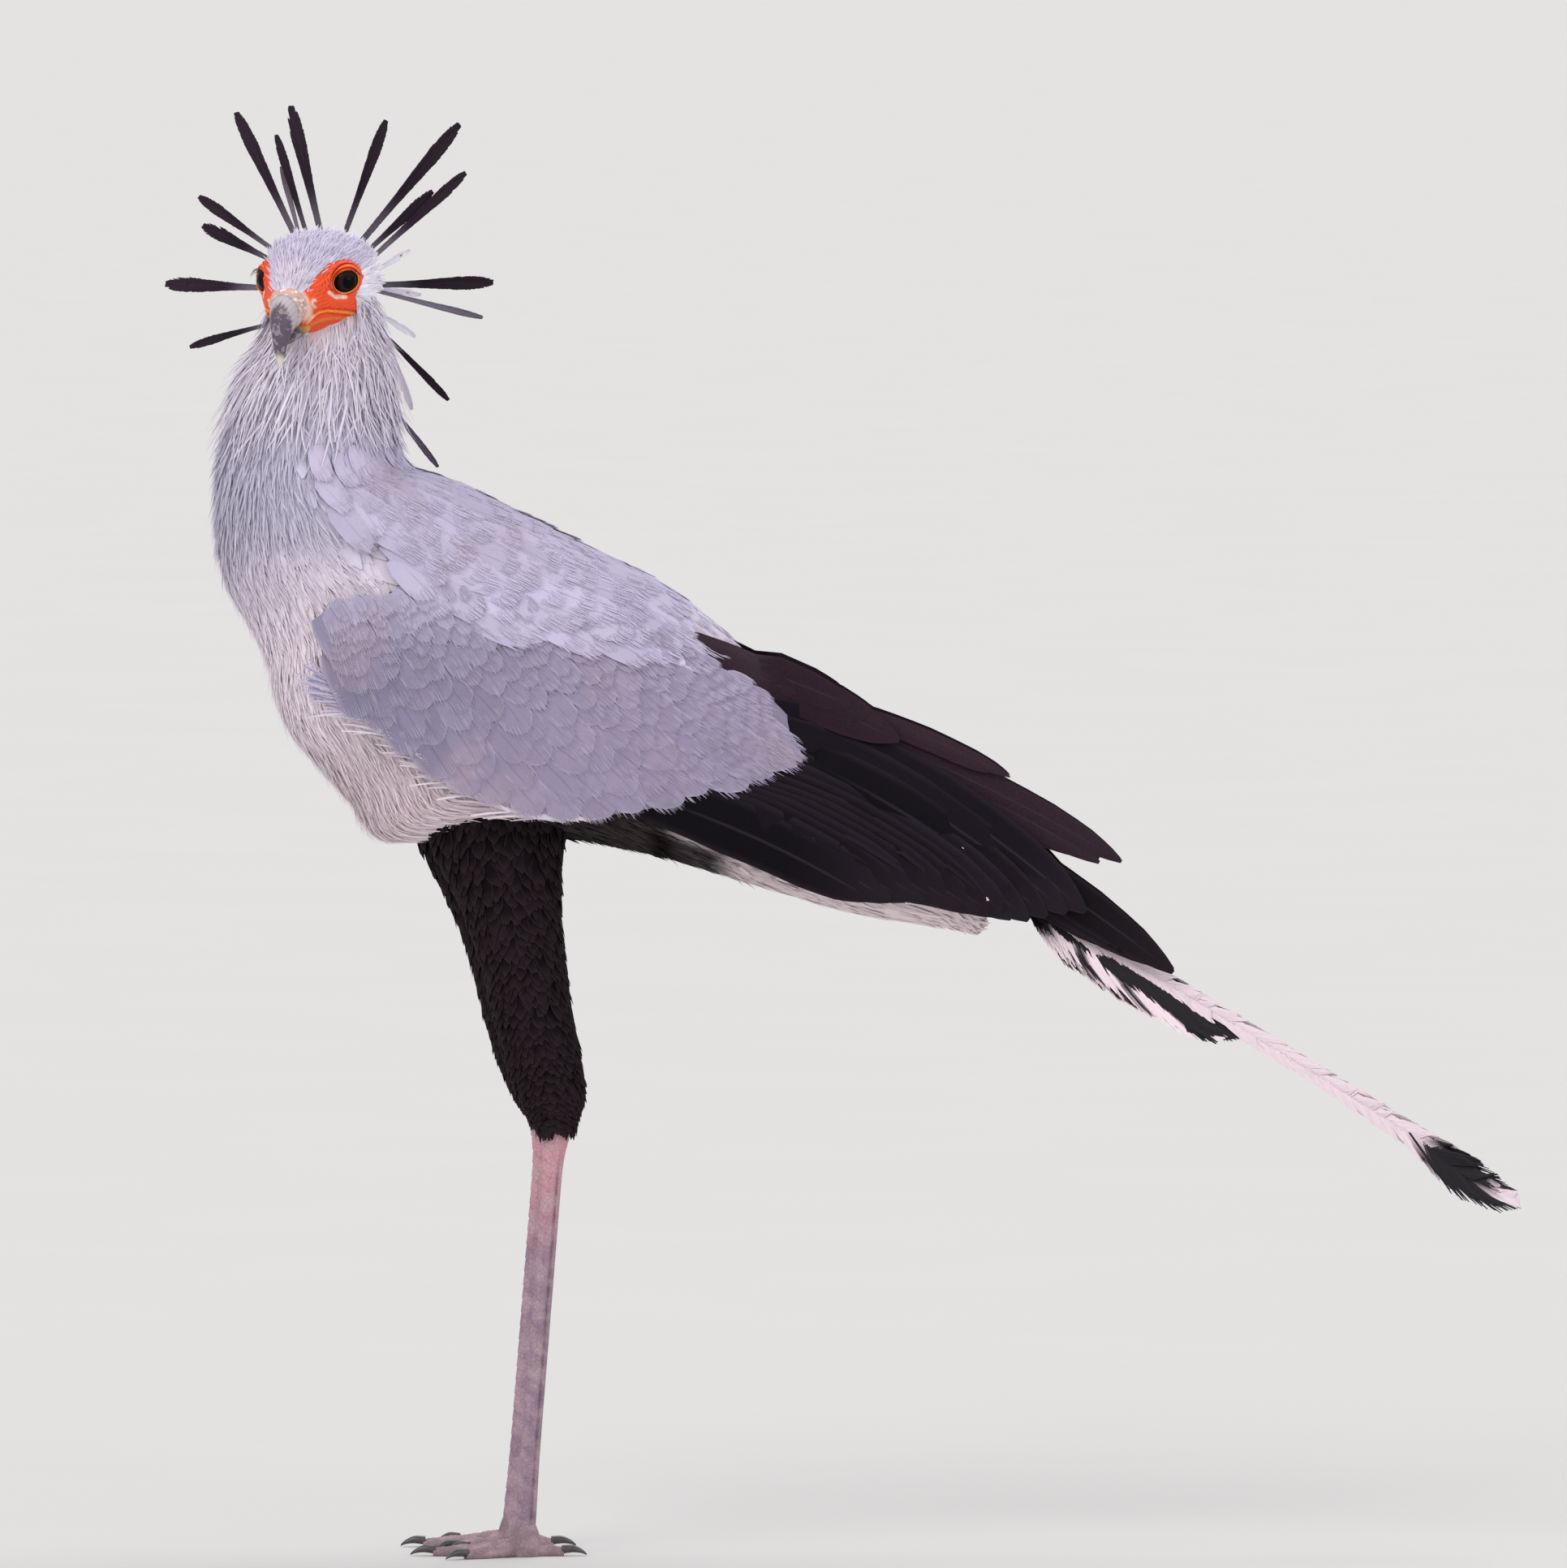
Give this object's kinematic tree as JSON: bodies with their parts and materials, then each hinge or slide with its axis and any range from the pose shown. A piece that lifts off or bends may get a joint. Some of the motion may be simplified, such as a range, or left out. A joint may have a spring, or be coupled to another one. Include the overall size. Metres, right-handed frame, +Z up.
{
  "type": "secretary bird",
  "caption": "Life-size standing secretary bird with long bare shanks, folded wings, a raised crest of plumes and long central tail feathers, looking round to its left.",
  "frame": {"origin": "centre of the bounding box, on the floor under the toes", "axes": "+Z up, the bird faces -X, its left side towards -Y"},
  "size_m": [1.0458, 0.2072, 1.1055],
  "materials": {
    "grey_plumage": "matte",
    "pale_plumage": "matte",
    "black_plumage": "satin",
    "tail_feather": "matte",
    "bill": "satin",
    "eye": "gloss",
    "scaly_skin": "matte",
    "claw": "satin"
  },
  "bodies": {
    "root": {"head": "grey_plumage", "eye_left": "eye", "eye_right": "eye", "bill_upper": "bill", "bill_lower": "bill", "neck": "pale_plumage", "torso": "pale_plumage", "rump": "pale_plumage", "tail": "tail_feather", "wing_left": "grey_plumage", "thigh_left": "black_plumage", "shank_left": "scaly_skin", "foot_left": "scaly_skin", "claw_middle_left": "claw", "claw_inner_left": "claw", "claw_outer_left": "claw", "claw_hind_left": "claw", "wing_right": "grey_plumage", "thigh_right": "black_plumage", "shank_right": "scaly_skin", "foot_right": "scaly_skin", "claw_middle_right": "claw", "claw_inner_right": "claw", "claw_outer_right": "claw", "claw_hind_right": "claw"}
  },
  "joints": []
}
